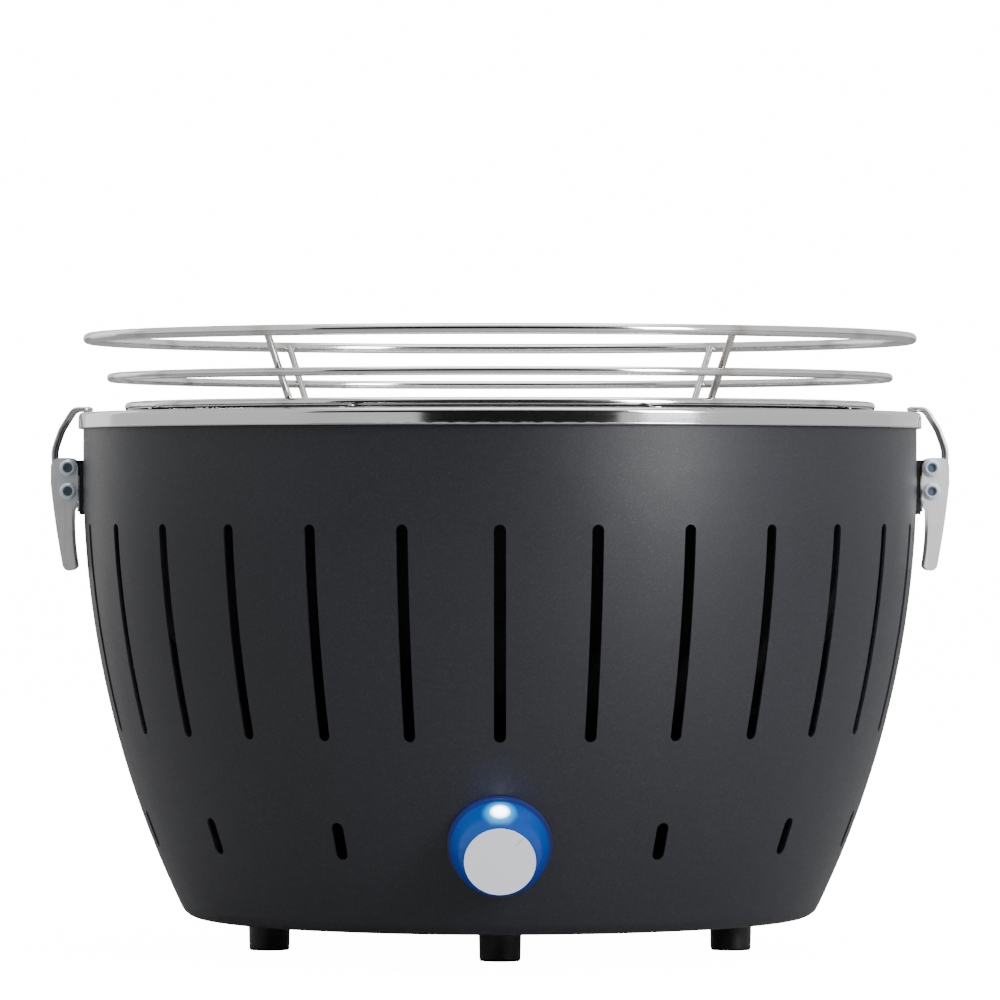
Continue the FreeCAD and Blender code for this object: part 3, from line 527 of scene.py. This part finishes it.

# %% [markdown]
# ## Lit plastic
# The knob's body is clear blue plastic with a lamp behind its upper edge. The lamp's light through the
# plastic is painted on it as emission, deep blue all over and almost white at the lamp. The painted light
# fades with the distance from the lamp, which stays where it is while the knob turns, so that distance is
# measured in the room.

# %% Knob body finish
hot_spot = LAMP + KNOB_OUT * 7.2 * MM
glass = Finish("lit_blue_knob", Metallic=0.0, Coat_Weight=0.12, Coat_Roughness=0.06,
               IOR=1.45, Specular_IOR_Level=0.22)
away = glass.distance_from(hot_spot, at=glass.node("NewGeometry", {}, {}, "Position"))
haze = glass.noise(90)
# Painted light: the knob's body is no lamp; its emission colour paints the lamp's light through the plastic.
painted_light_far_blue = glass.mix(away.between(0.012, 0.034), (0.0, 0.036, 0.170), (0.0, 0.006, 0.075))
painted_light_near_cyan = glass.mix(away.between(0.0030, 0.0085), (0.01, 0.40, 0.90), painted_light_far_blue)
painted_knob_light = glass.mix(away.between(0.0018, 0.0048), (4.5, 5.0, 5.0), painted_light_near_cyan)
glass.vary("Base Color", glass.mix(haze, (0.0, 0.008, 0.060), (0.0, 0.012, 0.085)))
glass.vary("Emission Color", painted_knob_light)
glass.vary("Roughness", 0.16 + haze * 0.08)
glass.shader.inputs["Emission Strength"].default_value = 2.0
lens = Finish("lamp_lens", Roughness=0.15)
lens.vary("Base Color", lens.mix(lens.noise(200), (0.85, 0.92, 1.0), (0.95, 0.98, 1.0)))
lens.vary("Emission Color", lens.mix(lens.noise(80), (0.75, 0.9, 1.0), (1.0, 1.0, 1.0)))
lens.shader.inputs["Emission Strength"].default_value = 3.0


# %% [markdown]
# ## Moulded and rubber parts
# A mould leaves an even, very fine texture. Rubber is darker, duller and softer to look at. One recipe gives
# both, and the grain size and the depth tell them apart.

# %% Moulded parts recipe
def moulded(name, colour, rough, grain=1800, depth=0.00003, dust=0.0):
    part = Finish(name, Metallic=0.0)
    pits = part.noise(grain, detail=2.0)
    broad = part.noise(35)
    tone = part.mix(broad, [c * 0.8 for c in colour], [min(1, c * 1.25 + 0.002) for c in colour])
    if dust:
        tone = part.mix(broad.between(0.5, 0.8) * dust, tone, (0.20, 0.19, 0.18))
    part.vary("Base Color", tone)
    part.vary("Roughness", rough + pits * 0.10 + broad * 0.06)
    part.bump(pits, depth, 0.5)
    return part


housing = moulded("moulded_housing", (0.020, 0.020, 0.022), 0.45)
fan_nylon = moulded("fan_nylon", (0.016, 0.016, 0.018), 0.40, 1200)
bezel = moulded("bezel_plastic", (0.008, 0.008, 0.010), 0.30)
# Painted light: the bezel is no lamp; its emission paints the lamp's blue light on it, strongest near the
# lamp.
painted_lamp_falloff = bezel.distance_from(LAMP).between(0.004, 0.040)
bezel.vary("Emission Color", bezel.mix(painted_lamp_falloff, (0.006, 0.018, 0.200), (0.001, 0.001, 0.020)))
bezel.shader.inputs["Emission Strength"].default_value = 1.0
silicone = moulded("silicone_gasket", (0.30, 0.05, 0.03), 0.48, 900)
rubber = moulded("foot_rubber", (0.0035, 0.0035, 0.0038), 0.36, 700, 0.00005)
jacket = moulded("cable_jacket", (0.012, 0.012, 0.012), 0.42, 900)
bracket = moulded("black_bracket_coat", (0.006, 0.006, 0.007), 0.34, 900)

# %% [markdown]
# ## Cells and circuit board
# These are seen only when the base is open. Each cell has a plain dark film with a metal end, and the board
# shows its tracks under green lacquer.

# %% Cell and board finishes
film = Finish("cell_film", Coat_Weight=0.5, Coat_Roughness=0.1)
along = film.axes()[1].math("ABSOLUTE")
BAND_AT, BARE_METAL_AT = 15.0 * MM, 23.6 * MM
cap_end = along.between(BARE_METAL_AT, BARE_METAL_AT + 0.4 * MM)
band = along.between(BAND_AT, BAND_AT + 0.3 * MM) * (1 - cap_end)
scuff = film.noise(150)
wrap = film.mix(band, (0.03, 0.032, 0.04), (0.42, 0.30, 0.16))
film.vary("Base Color", film.mix(cap_end, wrap, (0.7, 0.7, 0.7)))
film.vary("Metallic", cap_end * 0.95 + band * 0.5)
film.vary("Roughness", 0.24 + scuff * 0.14)
board = Finish("green_board", Coat_Weight=0.4)
bricks = board.node("Mapping", {}, {"Vector": board.place(), "Scale": (210, 210, 210)})
track = board.node("TexBrick", {}, {"Vector": bricks, "Scale": 1.0, "Mortar Size": 0.07}, "Fac")
board.vary("Base Color", board.mix(track, (0.010, 0.085, 0.035), (0.05, 0.20, 0.07)))
board.vary("Roughness", 0.32 + board.noise(300) * 0.15)
board.bump(track, 0.00004, 0.4)

# %% Give every node its finish
FINISHES = {
    "shell_paint": coat, "rim_steel": bowl, "wire_chrome": chrome, "plate_steel": plate,
    "basket_steel": basket, "housing_plastic": housing, "zinc_screw": zinc, "cell_jacket": film,
    "contact_metal": contact, "motor_can": can, "fan_plastic": fan_nylon, "duct_steel": duct,
    "gasket": silicone, "bezel_plastic": bezel, "knob_blue": glass, "knob_face": face,
    "dimmer_metal": plated, "light_white": lens, "board_green": board, "cable_black": jacket,
    "foot_rubber": rubber, "lever_steel": lever, "bail_steel": spring_wire, "bracket_black": bracket,
}


def dress(piece, finish):
    piece.data.materials.clear()
    piece.data.materials.append(finish.material)


for entry in frame["record"]["subparts"]:
    dress(NODES[entry["node"]], FINISHES[entry["material_slot"]])
for piece in bpy.data.objects:
    if piece.type == "MESH" and "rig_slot" in piece:
        dress(piece, FINISHES[piece["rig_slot"]])
print(len(FINISHES), "finishes")

# %% [markdown]
# ## Stage, light and camera
# The grill stands on a white floor in soft light. Two wide dark cards, one above the other and both behind
# the camera, show in the polished steel as the black bands that make it look polished. They are seen in
# reflections only.

# %% Floor
FLOOR_SIZE = 30.0
clear_selection()
bpy.ops.mesh.primitive_plane_add(size=FLOOR_SIZE, location=(0, 0, 0))
floor = bpy.context.object
floor.name = "floor"
pale = Finish("pale_floor", Roughness=0.8)
seen = pale.node("LightPath", {}, {}, "Is Camera Ray")
paper = pale.mix(pale.noise(3), (0.90, 0.90, 0.90), (0.93, 0.93, 0.93))
pale.vary("Base Color", pale.mix(seen, (0.30, 0.30, 0.30), paper))
pale.vary("Emission Color", pale.mix(seen, (0, 0, 0), (1, 1, 1)))
pale.shader.inputs["Emission Strength"].default_value = 15.0
dress(floor, pale)


# %% Dark cards, for reflections only
def dark_card(name, x0, x1, z0, z1, y):
    clear_selection()
    bpy.ops.mesh.primitive_plane_add(size=1, location=((x0 + x1) / 2, y, (z0 + z1) / 2))
    card = bpy.context.object
    card.name = name
    card.scale = (x1 - x0, z1 - z0, 1)
    card.rotation_euler = (math.pi / 2, 0, 0)
    black_cloth = Finish(name + "_cloth", Roughness=1.0)
    black_cloth.shader.inputs["Base Color"].default_value = (0.002, 0.002, 0.002, 1)
    dress(card, black_cloth)
    card.visible_camera = False
    card.visible_diffuse = False
    card.visible_shadow = False
    card.visible_transmission = False


dark_card("front_card", -1.25, 2.0, 0.02, 0.5, -3.3)
dark_card("upper_card", -4.5, 4.5, 0.5, 3.4, -3.4)


# %% Lights
def soft_light(name, azimuth, distance, height, width, tall, power, aim=0.14):
    """An area light; azimuth 0 is the camera's side and grows towards +X."""
    a = math.radians(azimuth)
    place = Vector((math.sin(a) * distance, -math.cos(a) * distance, height))
    bpy.ops.object.light_add(type="AREA", location=place)
    lamp = bpy.context.object
    lamp.name = name
    lamp.data.shape = "RECTANGLE"
    lamp.data.size, lamp.data.size_y = width, tall
    lamp.data.energy = power
    lamp.rotation_euler = (Vector((0, 0, aim)) - place).to_track_quat("-Z", "Y").to_euler()
    return lamp


soft_light("key_right", 44, 1.5, 0.70, 0.38, 0.9, 30)
soft_light("side_left", -138, 1.6, 0.5, 0.7, 1.2, 2)
soft_light("side_right", 140, 1.6, 0.5, 0.7, 1.2, 0.3)
soft_light("overhead", 0, 0.05, 1.7, 1.3, 1.3, 16)
world = bpy.data.worlds.new("white_room")
bpy.context.scene.world = world
world.use_nodes = True
ROOM_LIGHT, ROOM_SEEN = 1.0, 16.0
room = world.node_tree.nodes["Background"]
room.inputs["Color"].default_value = (1, 1, 1, 1)
path = world.node_tree.nodes.new("ShaderNodeLightPath")
level = world.node_tree.nodes.new("ShaderNodeMapRange")
level.inputs["To Min"].default_value = ROOM_LIGHT
level.inputs["To Max"].default_value = ROOM_SEEN
world.node_tree.links.new(path.outputs["Is Camera Ray"], level.inputs["Value"])
world.node_tree.links.new(level.outputs["Result"], room.inputs["Strength"])

# %% Camera
CAMERA_AWAY, CAMERA_HEIGHT = 2.733, 0.1891
bpy.ops.object.camera_add(location=(0, -CAMERA_AWAY, CAMERA_HEIGHT), rotation=(math.pi / 2, 0, 0))
camera = bpy.context.object
camera.data.lens = 233.9
camera.data.sensor_width = 36
camera.data.clip_end = 50
bpy.context.scene.camera = camera

clear_selection()
